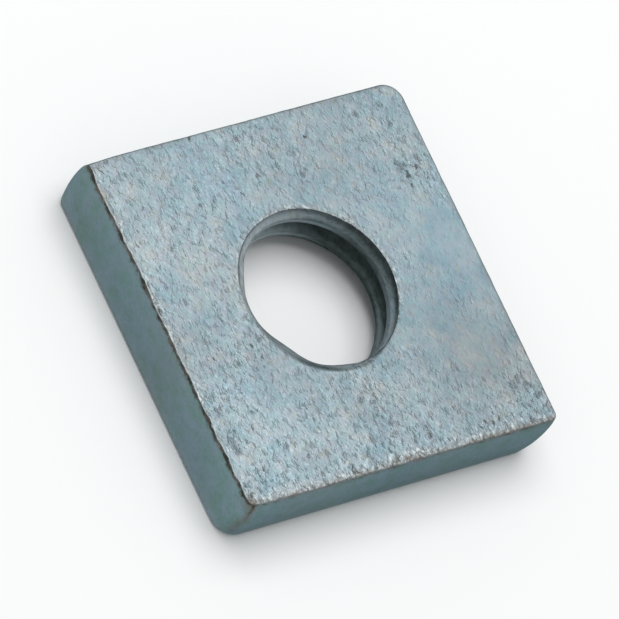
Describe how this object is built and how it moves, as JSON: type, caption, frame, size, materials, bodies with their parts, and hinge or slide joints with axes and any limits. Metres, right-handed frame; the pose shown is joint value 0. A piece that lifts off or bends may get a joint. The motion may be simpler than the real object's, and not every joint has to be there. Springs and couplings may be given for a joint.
{
  "type": "slide nut",
  "caption": "Square plate nut cut from flat steel bar, tapped through its middle; slides along a channel or slot and takes a metric bolt.",
  "frame": {"origin": "middle of the plate's underside, the side with the rolled-over edges", "axes": "+Z along the thread, out of the crisp face that carries the burr; +Y along the cut length; +X across the bar"},
  "size_m": [0.02, 0.021, 0.004],
  "materials": {
    "zinc_plated_steel": "electroplated zinc with a clear blue passivate over mill-finish steel, matt and mottled"
  },
  "bodies": {
    "root": {"slide_nut": "zinc_plated_steel"}
  },
  "joints": []
}
